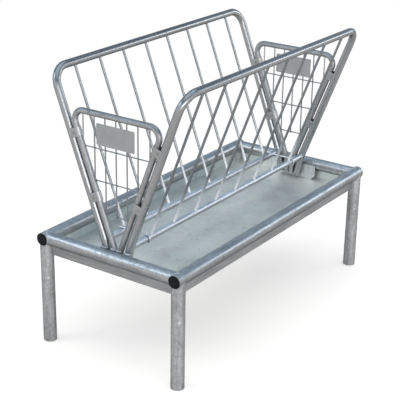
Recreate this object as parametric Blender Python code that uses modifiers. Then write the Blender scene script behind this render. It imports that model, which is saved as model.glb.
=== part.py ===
"""A galvanised pasture feed trough with a V-shaped hay rack standing in it.

Metres, +Z up. The origin is on the ground below the middle of the trough, X runs along the trough,
the front is at -Y and left is at -X. Heights named *_RISE are measured up from the axis of the
trough's rails, because the rack is set out from them.
"""
import math

import bmesh
import bpy
from mathutils import Quaternion, Vector

# Base frame: two long rails, two cross tubes and four legs of one tube size
RAIL_LENGTH = 1.600
BASE_WIDTH = 0.775
RIM_HEIGHT = 0.535
FRAME_TUBE = 0.0603
FRAME_WALL = 0.0029

# Tray hung under the frame
TRAY_SHEET = 0.002
TRAY_DEPTH = 0.046
TRAY_FOLD = 0.004

# Plastic plugs in the rail ends
PLUG_RIM_INSET = 0.0015
PLUG_EDGE = 0.0015
PLUG_CROWN = 0.003
PLUG_SPIGOT = 0.025
PLUG_WALL = 0.0025

# Rack frames: bent tubes that lean outwards, with a lower rail between their two feet
RACK_HEIGHT = 1.280
RACK_TOP_SPREAD = 0.677
RACK_TUBE = 0.035
RACK_WALL = 0.002
RACK_BEND = 0.080
LOWER_RAIL_SPREAD = 0.138
LOWER_RAIL_RISE = 0.048
LOWER_RAIL_TUBE = 0.030
LOWER_RAIL_WALL = 0.002
FOOT_SPREAD = 0.092
FOOT_DROP = 0.055
FOOT_BEND = 0.060

# Round bars from the lower rail up to the top rail
BAR_COUNT = 8
BAR_ROD = 0.012
BAR_END_SPACE = 0.139

# Plates that carry the rack's feet on the cross tubes
FOOT_PLATE_WIDTH = 0.285
FOOT_PLATE_SHEET = 0.005
FOOT_PLATE_CORNER = 0.028

# End panels inside the V: a bent tube, a welded mesh and a bare name plate
PANEL_TUBE = 0.0269
PANEL_WALL = 0.0023
PANEL_GAP = 0.0068
PANEL_TOP_DROP = 0.153
PANEL_BEND = 0.045
PANEL_FOOT_GAP = 0.0015
PANEL_FOOT_BEND = 0.050
MESH_WIRE = 0.006
MESH_WELD = 0.0005
MESH_PITCH = 0.057
CORNER_WIRE_GAP = 0.00215
CROSS_WIRE_COUNT = 3
CROSS_WIRE_DROP = 0.152
CROSS_WIRE_PITCH = 0.1435
MESH_STUB = 0.004
NAME_PLATE_WIDTH = 0.200
NAME_PLATE_HEIGHT = 0.095
NAME_PLATE_SHEET = 0.002
NAME_PLATE_DROP = 0.037
NAME_PLATE_CORNER = 0.006

# Clamps that hold each panel leg to the rack tube beside it
UPPER_CLAMP_DROP = 0.09665
LOWER_CLAMP_DROP = 0.36465
CLAMP_HEIGHT = 0.042
CLAMP_SHEET = 0.003
BOLT = 0.006
BOLT_HEAD_ACROSS = 0.010
BOLT_HEAD_HEIGHT = 0.004
NUT_HEIGHT = 0.0052
BOLT_TAIL = 0.003

# Hooked tie bars across the two lower rails, each just outside the last bar
TIE_ROD = 0.008
TIE_BAR_OFFSET = 0.0275
TIE_HOOK_ANGLE = math.radians(150)

# Clearance between touching pieces, and how finely round shapes are divided
GAP = 0.0003
FRAME_SIDES = 24
LIGHT_SIDES = 16
BAR_SIDES = 10
WIRE_SIDES = 8
BENT_TUBE_RESOLUTION = 4
BENT_ROD_RESOLUTION = 2
STRAP_STEPS = 8
PLUG_DOME_STEPS = 4
BEND_STEP = math.radians(15)
HOOK_STEP = math.radians(25)

# Sizes that follow from the ones above
FRAME_R = FRAME_TUBE / 2
RACK_R = RACK_TUBE / 2
PANEL_R = PANEL_TUBE / 2
LOWER_RAIL_R = LOWER_RAIL_TUBE / 2
RAIL_AXIS = RIM_HEIGHT - FRAME_R
LEG_X = RAIL_LENGTH / 2 - FRAME_R
LEG_Y = BASE_WIDTH / 2 - FRAME_R
FLOOR_TOP = RAIL_AXIS - FRAME_R - GAP - TRAY_DEPTH + TRAY_SHEET
FOOT_PLATE_X = LEG_X - FRAME_R - GAP - FOOT_PLATE_SHEET / 2
RACK_X = FOOT_PLATE_X - FOOT_PLATE_SHEET / 2 - GAP - RACK_R
RACK_TOP_RISE = RACK_HEIGHT - RACK_R - RAIL_AXIS
LEAN = math.atan2((RACK_TOP_SPREAD - LOWER_RAIL_SPREAD) / 2, RACK_TOP_RISE - LOWER_RAIL_RISE)
PANEL_OFFSET = RACK_R + PANEL_GAP + PANEL_R
PANEL_TOP_RISE = RACK_TOP_RISE - PANEL_TOP_DROP
CLAMP_RISES = {"upper": PANEL_TOP_RISE - UPPER_CLAMP_DROP, "lower": PANEL_TOP_RISE - LOWER_CLAMP_DROP}
BAR_REACH = RACK_X - BAR_END_SPACE
TIE_BAR_X = BAR_REACH + TIE_BAR_OFFSET

SIDES = {"front": -1, "back": 1}
ENDS = {"left": -1, "right": 1}

# Colour, roughness and metallic value of each finish
GALVANISED = ((0.42, 0.44, 0.46, 1.0), 0.42, 0.85)
TRAY_ZINC = ((0.40, 0.45, 0.45, 1.0), 0.50, 0.75)
PLATE_ZINC = ((0.36, 0.36, 0.37, 1.0), 0.60, 0.60)
BOLT_ZINC = ((0.22, 0.23, 0.24, 1.0), 0.50, 0.85)
BLACK_PLASTIC = ((0.012, 0.012, 0.013, 1.0), 0.55, 0.0)


def clear_scene():
    for obj in list(bpy.data.objects):
        bpy.data.objects.remove(obj, do_unlink=True)


def collection(name):
    group = bpy.data.collections.new(name)
    bpy.context.scene.collection.children.link(group)
    return group


def material(name, finish):
    colour, roughness, metallic = finish
    surface = bpy.data.materials.new(name)
    surface.use_nodes = True
    shader = surface.node_tree.nodes["Principled BSDF"]
    shader.inputs["Base Color"].default_value = colour
    shader.inputs["Roughness"].default_value = roughness
    shader.inputs["Metallic"].default_value = metallic
    surface.diffuse_color = colour
    return surface


def empty(name, location):
    obj = bpy.data.objects.new(name, None)
    obj.location = location
    PARTS.objects.link(obj)
    return obj


def smooth(mesh):
    mesh.shade_smooth()
    mesh.set_sharp_from_angle(angle=math.radians(40))


def piece(name, mesh, finish, parent):
    """A visible part of the trough, with a material of its own."""
    obj = bpy.data.objects.new(name, mesh)
    if not mesh.materials:
        mesh.materials.append(None)
    obj.material_slots[0].link = "OBJECT"
    obj.material_slots[0].material = material(name + "_finish", finish)
    obj.parent = parent
    PARTS.objects.link(obj)
    return obj


def cutter(name, mesh, parent):
    """A shape that only cuts others."""
    obj = bpy.data.objects.new(name, mesh)
    obj.display_type = "WIRE"
    obj.hide_render = True
    obj.parent = parent
    CUTTERS.objects.link(obj)
    return obj


def boolean(obj, other, operation="DIFFERENCE"):
    step = obj.modifiers.new(operation.lower() + "_" + other.name, "BOOLEAN")
    step.operation = operation
    step.solver = "EXACT"
    step.object = other


def solidify(obj, thickness):
    """Thickness inwards, on the side away from the normals."""
    step = obj.modifiers.new("wall", "SOLIDIFY")
    step.thickness = thickness
    step.offset = -1
    step.use_even_offset = True


def baked_mesh(obj):
    """The object's mesh with its modifiers applied, welded."""
    bpy.context.view_layer.update()
    evaluated = obj.evaluated_get(bpy.context.evaluated_depsgraph_get())
    mesh = bpy.data.meshes.new_from_object(evaluated)
    bm = bmesh.new()
    bm.from_mesh(mesh)
    bmesh.ops.remove_doubles(bm, verts=bm.verts, dist=0.00001)
    bm.to_mesh(mesh)
    bm.free()
    smooth(mesh)
    return mesh


def cylinder_mesh(name, length, radius, sides, capped=True):
    """A cylinder along Z, centred on its origin."""
    bm = bmesh.new()
    bmesh.ops.create_cone(bm, cap_ends=capped, segments=sides, radius1=radius, radius2=radius, depth=length)
    mesh = bpy.data.meshes.new(name)
    bm.to_mesh(mesh)
    bm.free()
    smooth(mesh)
    return mesh


def clear_of(radius, sides):
    """The radius of a faceted cutter that clears a round piece however the two are turned."""
    return (radius + GAP) / math.cos(math.pi / sides)


def lay_between(obj, start, end):
    """Puts an object that is modelled along Z with its middle between two points."""
    obj.location = (start + end) / 2
    obj.rotation_euler = (end - start).to_track_quat("Z", "Y").to_euler()


def straight_tube(name, start, end, radius, wall, sides, parent):
    mesh = cylinder_mesh(name, (end - start).length, radius, sides, capped=False)
    obj = piece(name, mesh, GALVANISED, parent)
    lay_between(obj, start, end)
    solidify(obj, wall)
    return obj


def straight_rod(name, start, end, radius, sides, parent):
    obj = piece(name, cylinder_mesh(name, (end - start).length, radius, sides), GALVANISED, parent)
    lay_between(obj, start, end)
    return obj


def straight_cutter(name, start, end, radius, sides, parent):
    obj = cutter(name, cylinder_mesh(name, (end - start).length, radius, sides), parent)
    lay_between(obj, start, end)
    return obj


def curve_mesh(name, points, radius=0.0, resolution=0, capped=True, extrude=0.0, cyclic=False):
    """The mesh of a curve: a round rod along the points, or a flat outline with a thickness."""
    curve = bpy.data.curves.new(name, "CURVE")
    curve.dimensions = "2D" if cyclic else "3D"
    curve.fill_mode = "BOTH" if cyclic else "FULL"
    curve.bevel_depth = radius
    curve.bevel_resolution = resolution
    curve.use_fill_caps = capped and not cyclic
    curve.extrude = extrude
    spline = curve.splines.new("POLY")
    spline.points.add(len(points) - 1)
    for knot, point in zip(spline.points, points):
        knot.co = (*point, 1.0)
    spline.use_cyclic_u = cyclic
    guide = bpy.data.objects.new(name + "_curve", curve)
    CUTTERS.objects.link(guide)
    mesh = baked_mesh(guide)
    mesh.name = name
    bpy.data.objects.remove(guide, do_unlink=True)
    bpy.data.curves.remove(curve)
    return mesh


def flat_plate_mesh(name, outline, thickness):
    """A flat outline in the XY plane, its thickness shared between +Z and -Z."""
    points = [(point.x, point.y, 0.0) for point in outline]
    return curve_mesh(name, points, extrude=thickness / 2, cyclic=True)


def arc_about(corner, before, after, radius, step=BEND_STEP):
    """Points of the arc that rounds a corner between two neighbours."""
    inward = (before - corner).normalized()
    outward = (after - corner).normalized()
    turn = math.pi - inward.angle(outward)
    if radius <= 0 or turn < 0.001:
        return [corner]
    reach = radius * math.tan(turn / 2)
    centre = corner + (inward + outward).normalized() * (radius / math.cos(turn / 2))
    first = corner + inward * reach - centre
    axis = first.cross(corner + outward * reach - centre).normalized()
    count = max(2, math.ceil(turn / step))
    return [centre + Quaternion(axis, turn * i / count) @ first for i in range(count + 1)]


def bent_path(corners, radii):
    """A path through the corners, with a bend of its own radius at each inner one."""
    points = [corners[0]]
    for before, corner, after, radius in zip(corners, corners[1:], corners[2:], radii):
        points += arc_about(corner, before, after, radius)
    return points + [corners[-1]]


def rounded_outline(corners, radii):
    """A closed outline whose corners are rounded by their own radii."""
    points = []
    for i, (corner, radius) in enumerate(zip(corners, radii)):
        points += arc_about(corner, corners[i - 1], corners[(i + 1) % len(corners)], radius)
    return points


def rectangle(width, height):
    """The corners of a rectangle from its top left, centred on X, hanging down from Y = 0."""
    return [
        Vector((-width / 2, 0, 0)),
        Vector((-width / 2, -height, 0)),
        Vector((width / 2, -height, 0)),
        Vector((width / 2, 0, 0)),
    ]


def bent_tube(name, path, radius, wall, parent):
    mesh = curve_mesh(name, path, radius, BENT_TUBE_RESOLUTION, capped=False)
    obj = piece(name, mesh, GALVANISED, parent)
    solidify(obj, wall)
    return obj


def build_base(base):
    """Rails with coped cross tubes between them and coped legs below them."""
    rail_cutters = {}
    for side, y in SIDES.items():
        start = Vector((-RAIL_LENGTH / 2, y * LEG_Y, RAIL_AXIS))
        end = Vector((RAIL_LENGTH / 2, y * LEG_Y, RAIL_AXIS))
        straight_tube(f"{side}_rail", start, end, FRAME_R, FRAME_WALL, FRAME_SIDES, base)
        overrun = Vector((FRAME_TUBE, 0, 0))
        rail_cutters[side] = straight_cutter(
            f"{side}_rail_cut", start - overrun, end + overrun, FRAME_R + GAP, FRAME_SIDES, base
        )
    cross_cutters = {}
    for end_name, x in ENDS.items():
        start = Vector((x * LEG_X, -LEG_Y, RAIL_AXIS))
        end = Vector((x * LEG_X, LEG_Y, RAIL_AXIS))
        cross = straight_tube(f"{end_name}_cross_tube", start, end, FRAME_R, FRAME_WALL, FRAME_SIDES, base)
        for rail_cutter in rail_cutters.values():
            boolean(cross, rail_cutter)
        cross_cutters[end_name] = straight_cutter(
            f"{end_name}_cross_cut", start, end, FRAME_R + GAP, FRAME_SIDES, base
        )
    for side, y in SIDES.items():
        for end_name, x in ENDS.items():
            foot = Vector((x * LEG_X, y * LEG_Y, 0))
            top = Vector((x * LEG_X, y * LEG_Y, RAIL_AXIS))
            leg = straight_tube(
                f"leg_{side}_{end_name}", foot, top, FRAME_R, FRAME_WALL, FRAME_SIDES, base
            )
            boolean(leg, rail_cutters[side])
            boolean(leg, cross_cutters[end_name])


def build_plugs(base):
    """Domed plastic plugs, turned about Z, with a hollow spigot inside the rail."""
    rim = FRAME_R - PLUG_RIM_INSET
    spigot = FRAME_R * math.cos(math.pi / FRAME_SIDES) - FRAME_WALL - GAP
    turns = [math.pi / 2 * i / PLUG_DOME_STEPS for i in range(PLUG_DOME_STEPS + 1)]
    profile = [(rim * math.sin(turn), PLUG_EDGE + PLUG_CROWN * math.cos(turn)) for turn in turns]
    profile += [
        (rim, GAP),
        (spigot, GAP),
        (spigot, -PLUG_SPIGOT),
        (spigot - PLUG_WALL, -PLUG_SPIGOT),
        (spigot - PLUG_WALL, -PLUG_WALL),
        (0, -PLUG_WALL),
    ]
    outline = bpy.data.meshes.new("plug_profile")
    edges = [(i, i + 1) for i in range(len(profile) - 1)]
    outline.from_pydata([(radius, 0, height) for radius, height in profile], edges, [])
    turned = cutter("plug_turning", outline, None)
    screw = turned.modifiers.new("turn", "SCREW")
    screw.steps = FRAME_SIDES
    screw.render_steps = FRAME_SIDES
    screw.use_merge_vertices = True
    screw.merge_threshold = 0.0001
    mesh = baked_mesh(turned)
    mesh.name = "rail_plug"
    bpy.data.objects.remove(turned, do_unlink=True)
    for side, y in SIDES.items():
        for end_name, x in ENDS.items():
            plug = piece(f"rail_plug_{side}_{end_name}", mesh, BLACK_PLASTIC, base)
            plug.location = (x * RAIL_LENGTH / 2, y * LEG_Y, RAIL_AXIS)
            plug.rotation_euler = (0, x * math.radians(90), 0)


def build_tray(base):
    """A folded pan whose walls stand under the axes of the tubes, notched round the legs."""
    bm = bmesh.new()
    bmesh.ops.create_cube(bm, size=1)
    size = Vector((2 * LEG_X + TRAY_SHEET, 2 * LEG_Y + TRAY_SHEET, TRAY_DEPTH))
    bmesh.ops.scale(bm, vec=size, verts=bm.verts)
    lid = [face for face in bm.faces if face.normal.z > 0.5]
    bmesh.ops.delete(bm, geom=lid, context="FACES_ONLY")
    folds = [edge for edge in bm.edges if all(vert.co.z < 0 for vert in edge.verts)]
    bmesh.ops.bevel(bm, geom=folds, offset=TRAY_FOLD, segments=2, profile=0.5, affect="EDGES")
    mesh = bpy.data.meshes.new("tray")
    bm.to_mesh(mesh)
    bm.free()
    tray = piece("tray", mesh, TRAY_ZINC, base)
    tray.location = (0, 0, RAIL_AXIS - FRAME_R - GAP - TRAY_DEPTH / 2)
    solidify(tray, TRAY_SHEET)
    for side, y in SIDES.items():
        for end_name, x in ENDS.items():
            low = Vector((x * LEG_X, y * LEG_Y, RAIL_AXIS - FRAME_TUBE - TRAY_DEPTH))
            high = Vector((x * LEG_X, y * LEG_Y, RAIL_AXIS))
            boolean(tray, straight_cutter(
                f"leg_cut_{side}_{end_name}", low, high, FRAME_R + GAP, FRAME_SIDES, base
            ))


def build_foot_plates(rack):
    """Upright plates against the inner side of the cross tubes, from their axis down to the tray."""
    height = RAIL_AXIS - FLOOR_TOP - GAP
    corners = rectangle(FOOT_PLATE_WIDTH, height)
    outline = rounded_outline(corners, [0, FOOT_PLATE_CORNER, FOOT_PLATE_CORNER, 0])
    mesh = flat_plate_mesh("foot_plate", outline, FOOT_PLATE_SHEET)
    for end_name, x in ENDS.items():
        plate = piece(f"foot_plate_{end_name}", mesh, GALVANISED, rack)
        plate.location = (x * FOOT_PLATE_X, 0, 0)
        plate.rotation_euler = (math.radians(90), 0, math.radians(90))


def frame_path(y):
    """One rack frame, from its left foot over the top rail to its right foot."""
    foot = Vector((RACK_X, y * FOOT_SPREAD / 2, -FOOT_DROP))
    knee = Vector((RACK_X, y * LOWER_RAIL_SPREAD / 2, LOWER_RAIL_RISE))
    top = Vector((RACK_X, y * RACK_TOP_SPREAD / 2, RACK_TOP_RISE))
    mirror = Vector((-1, 1, 1))
    corners = [foot * mirror, knee * mirror, top * mirror, top, knee, foot]
    return bent_path(corners, [FOOT_BEND, RACK_BEND, RACK_BEND, FOOT_BEND])


def build_rack_frames(rack):
    """Bent frames, lower rails and the bars that are coped between them."""
    for side, y in SIDES.items():
        path = frame_path(y)
        bent_tube(f"rack_frame_{side}", path, RACK_R, RACK_WALL, rack)
        frame_cut = cutter(
            f"rack_frame_{side}_cut",
            curve_mesh(f"rack_frame_{side}_cut", path, RACK_R + GAP, BENT_TUBE_RESOLUTION),
            rack,
        )
        start = Vector((-RACK_X, y * LOWER_RAIL_SPREAD / 2, LOWER_RAIL_RISE))
        end = Vector((RACK_X, y * LOWER_RAIL_SPREAD / 2, LOWER_RAIL_RISE))
        lower_rail = straight_tube(
            f"lower_rail_{side}", start, end, LOWER_RAIL_R, LOWER_RAIL_WALL, LIGHT_SIDES, rack
        )
        boolean(lower_rail, frame_cut)
        rail_cut = straight_cutter(f"lower_rail_{side}_cut", start, end, LOWER_RAIL_R + GAP, LIGHT_SIDES, rack)
        pitch = 2 * BAR_REACH / (BAR_COUNT - 1)
        for i in range(BAR_COUNT):
            x = -BAR_REACH + i * pitch
            low = Vector((x, y * LOWER_RAIL_SPREAD / 2, LOWER_RAIL_RISE))
            high = Vector((x, y * RACK_TOP_SPREAD / 2, RACK_TOP_RISE))
            bar = straight_rod(f"rack_bar_{side}_{i + 1}", low, high, BAR_ROD / 2, BAR_SIDES, rack)
            boolean(bar, frame_cut)
            boolean(bar, rail_cut)


def build_tie_bars(rack):
    """Rods across the lower rails whose ends hook down round the rails' outer sides."""
    reach = (LOWER_RAIL_R + GAP) / math.cos(HOOK_STEP / 2) + TIE_ROD / 2
    count = math.ceil(TIE_HOOK_ANGLE / HOOK_STEP)
    hook = []
    for i in range(count + 1):
        angle = TIE_HOOK_ANGLE * i / count
        y = LOWER_RAIL_SPREAD / 2 + reach * math.sin(angle)
        hook.append(Vector((0, y, LOWER_RAIL_RISE + reach * math.cos(angle))))
    mirrored = [point * Vector((1, -1, 1)) for point in hook]
    mesh = curve_mesh("tie_bar", hook[::-1] + mirrored, TIE_ROD / 2, BENT_ROD_RESOLUTION)
    for end_name, x in ENDS.items():
        tie_bar = piece(f"tie_bar_{end_name}", mesh, GALVANISED, rack)
        tie_bar.location = (x * TIE_BAR_X, 0, 0)


def panel_leg(rise):
    """Distance from the middle of a panel to the axis of its leaning leg, at a height."""
    rack_tube = LOWER_RAIL_SPREAD / 2 + (rise - LOWER_RAIL_RISE) * math.tan(LEAN)
    return rack_tube - PANEL_OFFSET / math.cos(LEAN)


def panel_path():
    """One panel's tube in the YZ plane, from its front foot over its top to its back foot."""
    foot_y = PANEL_R + PANEL_FOOT_GAP / 2
    knee_rise = (foot_y - panel_leg(0)) / math.tan(LEAN)
    foot = Vector((0, foot_y, -FOOT_DROP))
    knee = Vector((0, foot_y, knee_rise))
    top = Vector((0, panel_leg(PANEL_TOP_RISE), PANEL_TOP_RISE))
    mirror = Vector((1, -1, 1))
    corners = [foot * mirror, knee * mirror, top * mirror, top, knee, foot]
    return bent_path(corners, [PANEL_FOOT_BEND, PANEL_BEND, PANEL_BEND, PANEL_FOOT_BEND])


def heights_on_path(path, y):
    """The heights at which a path in the YZ plane passes a given Y, lowest first."""
    heights = []
    for a, b in zip(path, path[1:]):
        if min(a.y, b.y) <= y <= max(a.y, b.y) and a.y != b.y:
            heights.append(a.z + (b.z - a.z) * (y - a.y) / (b.y - a.y))
    return sorted(heights)


def corner_wire_reach():
    """Distance from the middle of a panel to its corner wires, which clear the upper straps."""
    bow = (PANEL_R + GAP + CLAMP_SHEET) / math.cos(math.pi / STRAP_STEPS / 2)
    across = bow * math.cos(LEAN) + CLAMP_HEIGHT / 2 * math.sin(LEAN)
    return panel_leg(CLAMP_RISES["upper"]) - across - CORNER_WIRE_GAP - MESH_WIRE / 2


def upright_wire(path, y, lowest):
    """An upright wire's ends: on the panel's tube above, and on the tube or at the lowest height below."""
    heights = heights_on_path(path, y)
    low = max(heights[0], lowest) if len(heights) > 1 else lowest
    x = -(MESH_WIRE - MESH_WELD) / 2
    return Vector((x, y, low)), Vector((x, y, heights[-1]))


def mesh_wires(path):
    """Upright wires that meet a cross wire, the two corner wires, and the cross wires, as point pairs."""
    rises = [PANEL_TOP_RISE - CROSS_WIRE_DROP - i * CROSS_WIRE_PITCH for i in range(CROSS_WIRE_COUNT)]
    x = (MESH_WIRE - MESH_WELD) / 2
    crossing = []
    for rise in rises:
        half = panel_leg(rise)
        crossing.append((Vector((x, -half, rise)), Vector((x, half, rise))))
    room = panel_leg(rises[0]) - PANEL_R / math.cos(LEAN) - MESH_WIRE
    last = int(room / MESH_PITCH)
    lowest = min(rises) - MESH_STUB
    upright = [upright_wire(path, i * MESH_PITCH, lowest) for i in range(-last, last + 1)]
    corner = [upright_wire(path, y * corner_wire_reach(), lowest) for y in SIDES.values()]
    return upright, corner, crossing


def wires_mesh(name, wires):
    """Separate straight wires gathered in one mesh."""
    bm = bmesh.new()
    for start, end in wires:
        turn = (end - start).to_track_quat("Z", "Y").to_matrix().to_4x4()
        turn.translation = (start + end) / 2
        bmesh.ops.create_cone(
            bm, cap_ends=True, segments=WIRE_SIDES, radius1=MESH_WIRE / 2, radius2=MESH_WIRE / 2,
            depth=(end - start).length, matrix=turn,
        )
    mesh = bpy.data.meshes.new(name)
    bm.to_mesh(mesh)
    bm.free()
    return mesh


def build_panels(rack):
    """End panels: the corner wires reach no cross wire, so they are welded to the tube alone."""
    path = panel_path()
    upright, corner, crossing = mesh_wires(path)
    tube_cut = cutter("panel_cut", curve_mesh("panel_cut", path, PANEL_R + GAP, BENT_TUBE_RESOLUTION), None)
    weld_r = PANEL_R - PANEL_WALL / 2
    weld_cut = cutter("panel_weld_cut", curve_mesh("panel_weld_cut", path, weld_r, BENT_TUBE_RESOLUTION), None)
    crossing_wires = cutter("crossing_wires", wires_mesh("crossing_wires", crossing), None)
    upright_wires = cutter("upright_wires", wires_mesh("upright_wires", upright), None)
    boolean(upright_wires, crossing_wires, "UNION")
    boolean(upright_wires, tube_cut)
    grid = baked_mesh(upright_wires)
    grid.name = "panel_mesh"
    tube = cutter("panel_tube", curve_mesh("panel_tube", path, PANEL_R, BENT_TUBE_RESOLUTION, capped=False), None)
    solidify(tube, PANEL_WALL)
    corner_wires = cutter("corner_wires", wires_mesh("corner_wires", corner), None)
    boolean(corner_wires, weld_cut)
    boolean(tube, corner_wires, "UNION")
    loop = baked_mesh(tube)
    loop.name = "panel_tube"
    outline = rounded_outline(rectangle(NAME_PLATE_WIDTH, NAME_PLATE_HEIGHT), [NAME_PLATE_CORNER] * 4)
    name_plate = flat_plate_mesh("name_plate", outline, NAME_PLATE_SHEET)
    plate_x = -(MESH_WIRE - MESH_WELD / 2) - GAP - NAME_PLATE_SHEET / 2
    for end_name, x in ENDS.items():
        middle = Vector((x * RACK_X, 0, 0))
        piece(f"panel_tube_{end_name}", loop, GALVANISED, rack).location = middle
        piece(f"panel_mesh_{end_name}", grid, GALVANISED, rack).location = middle
        plate = piece(f"name_plate_{end_name}", name_plate, PLATE_ZINC, rack)
        plate.location = middle + Vector((plate_x, 0, PANEL_TOP_RISE - NAME_PLATE_DROP))
        plate.rotation_euler = (math.radians(90), 0, math.radians(90))


def strap_mesh():
    """A strap round a panel leg along Z, with ears that run along +Y to the rack tube."""
    inner = PANEL_R + GAP
    outer = inner + CLAMP_SHEET
    spread = math.cos(math.pi / STRAP_STEPS / 2)
    angles = [math.pi * (i + 0.5) / STRAP_STEPS for i in range(STRAP_STEPS)]
    bow = [(math.cos(angle), -math.sin(angle)) for angle in angles]
    outside = [(outer / spread * x, outer / spread * y) for x, y in bow]
    inside = [(inner / spread * x, inner / spread * y) for x, y in reversed(bow)]
    outline = [(outer, PANEL_OFFSET)] + outside + [(-outer, PANEL_OFFSET), (-inner, PANEL_OFFSET)]
    outline += inside + [(inner, PANEL_OFFSET)]
    band = flat_plate_mesh("clamp_band", [Vector((x, y, 0)) for x, y in outline], CLAMP_HEIGHT)
    strap = cutter("clamp_band", band, None)
    half = Vector((0, 0, CLAMP_HEIGHT))
    middle = Vector((0, PANEL_OFFSET, 0))
    tube_r = clear_of(RACK_R, LIGHT_SIDES)
    boolean(strap, straight_cutter("rack_tube_cut", middle - half, middle + half, tube_r, LIGHT_SIDES, None))
    hole = Vector((0, PANEL_R + PANEL_GAP / 2, 0))
    across = Vector((outer * 2, 0, 0))
    hole_r = clear_of(BOLT / 2, WIRE_SIDES)
    boolean(strap, straight_cutter("bolt_hole", hole - across, hole + across, hole_r, WIRE_SIDES, None))
    mesh = baked_mesh(strap)
    mesh.name = "clamp_strap"
    return mesh


def bolt_mesh():
    """A hexagon bolt along Z with its nut on, its head at +Z, centred on the strap."""
    seat = PANEL_R + GAP + CLAMP_SHEET + GAP
    corner = BOLT_HEAD_ACROSS / 2 / math.cos(math.pi / 6)
    tail = seat + NUT_HEIGHT + BOLT_TAIL
    overlap = BOLT_HEAD_HEIGHT / 2
    shank_length = tail + seat + overlap
    shank = cutter("bolt_shank", cylinder_mesh("bolt_shank", shank_length, BOLT / 2, WIRE_SIDES), None)
    shank.location.z = seat + overlap - shank_length / 2
    head = cutter("bolt_head", cylinder_mesh("bolt_head", BOLT_HEAD_HEIGHT, corner, 6), None)
    head.location.z = seat + BOLT_HEAD_HEIGHT / 2
    nut = cutter("bolt_nut", cylinder_mesh("bolt_nut", NUT_HEIGHT, corner, 6), None)
    nut.location.z = -seat - NUT_HEIGHT / 2
    boolean(head, shank, "UNION")
    boolean(head, nut, "UNION")
    mesh = baked_mesh(head)
    for vert in mesh.vertices:
        vert.co.z += head.location.z
    mesh.name = "clamp_bolt"
    return mesh


def build_clamps(rack):
    """Two bolted straps on each of the four panel legs."""
    strap = strap_mesh()
    bolt = bolt_mesh()
    for side, y in SIDES.items():
        for end_name, x in ENDS.items():
            for level, rise in CLAMP_RISES.items():
                name = f"{side}_{end_name}_{level}"
                centre = Vector((x * RACK_X, y * panel_leg(rise), rise))
                clamp = piece(f"clamp_strap_{name}", strap, GALVANISED, rack)
                clamp.location = centre
                clamp.rotation_euler = (-LEAN, 0, 0 if y > 0 else math.pi)
                to_bolt = PANEL_R + PANEL_GAP / 2
                screw = piece(f"clamp_bolt_{name}", bolt, BOLT_ZINC, rack)
                screw.location = centre + Vector((0, y * to_bolt * math.cos(LEAN), -to_bolt * math.sin(LEAN)))
                screw.rotation_euler = (0, x * math.radians(90), 0)


clear_scene()
PARTS = collection("pasture_feed_trough")
CUTTERS = collection("cutters")
base_origin = empty("base", (0, 0, 0))
rack_origin = empty("rack", (0, 0, RAIL_AXIS))
rack_origin.parent = base_origin
build_base(base_origin)
build_plugs(base_origin)
build_tray(base_origin)
build_foot_plates(rack_origin)
build_rack_frames(rack_origin)
build_tie_bars(rack_origin)
build_panels(rack_origin)
build_clamps(rack_origin)
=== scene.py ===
"""The looks of a galvanised pasture feed trough with a V-shaped rack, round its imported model.

Metres, +Z up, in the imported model's frame: X runs along the trough, the front is at -Y and left
is at -X. Every new piece is a surface on a grid of points, and its docstring says the formula.
"""
import math

import bpy
import numpy as np
from mathutils import Matrix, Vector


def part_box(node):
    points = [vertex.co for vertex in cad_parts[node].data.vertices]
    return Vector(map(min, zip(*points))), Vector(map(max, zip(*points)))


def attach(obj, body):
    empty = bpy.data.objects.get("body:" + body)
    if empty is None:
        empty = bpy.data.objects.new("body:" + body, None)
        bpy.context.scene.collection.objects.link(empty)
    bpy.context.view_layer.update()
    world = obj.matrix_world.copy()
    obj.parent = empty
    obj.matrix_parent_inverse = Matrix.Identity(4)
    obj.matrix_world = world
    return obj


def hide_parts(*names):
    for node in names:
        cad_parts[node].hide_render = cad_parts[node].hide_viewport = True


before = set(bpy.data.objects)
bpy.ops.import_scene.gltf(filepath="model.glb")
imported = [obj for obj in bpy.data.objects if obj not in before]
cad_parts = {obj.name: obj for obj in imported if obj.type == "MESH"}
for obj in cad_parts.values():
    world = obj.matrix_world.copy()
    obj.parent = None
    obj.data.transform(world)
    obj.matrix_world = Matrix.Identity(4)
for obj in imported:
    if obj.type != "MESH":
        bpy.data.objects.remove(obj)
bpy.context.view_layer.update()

# Tube, rod and sheet sizes
FRAME_R = 0.03015
FRAME_WALL = 0.0029
RACK_R = 0.0175
RACK_WALL = 0.002
LOWER_RAIL_R = 0.015
LOWER_RAIL_WALL = 0.002
PANEL_R = 0.01345
PANEL_WALL = 0.0023
BAR_R = 0.006
TIE_R = 0.004
WIRE_R = 0.003
TRAY_SHEET = 0.002
TRAY_FOLD = 0.004
STRAP_SHEET = 0.003
STRAP_HEIGHT = 0.042

# Bends of the tubes, measured at their axes
RACK_BEND = 0.080
FOOT_BEND = 0.060
PANEL_BEND = 0.045
PANEL_FOOT_BEND = 0.050

# How the rack is set out, from the trough's middle and from the axis of its rails
RACK_TOP_Y = 0.3385
LOWER_RAIL_Y = 0.069
LOWER_RAIL_RISE = 0.048
FOOT_Y = 0.046
FOOT_DROP = 0.055
PANEL_OFFSET = 0.03775
PANEL_TOP_DROP = 0.153
PANEL_FOOT_Y = 0.0142
CROSS_WIRE_DROP = 0.152
CROSS_WIRE_PITCH = 0.1435
CROSS_WIRES = 3
WIRE_PITCH = 0.057
CORNER_WIRE_Y = 0.1747
WIRE_STUB = 0.004
CLAMP_RISES = {"upper": 0.508, "lower": 0.240}
TIE_BAR_OFFSET = 0.0275
TIE_HOOK = math.radians(150)
BARS = 8

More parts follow.
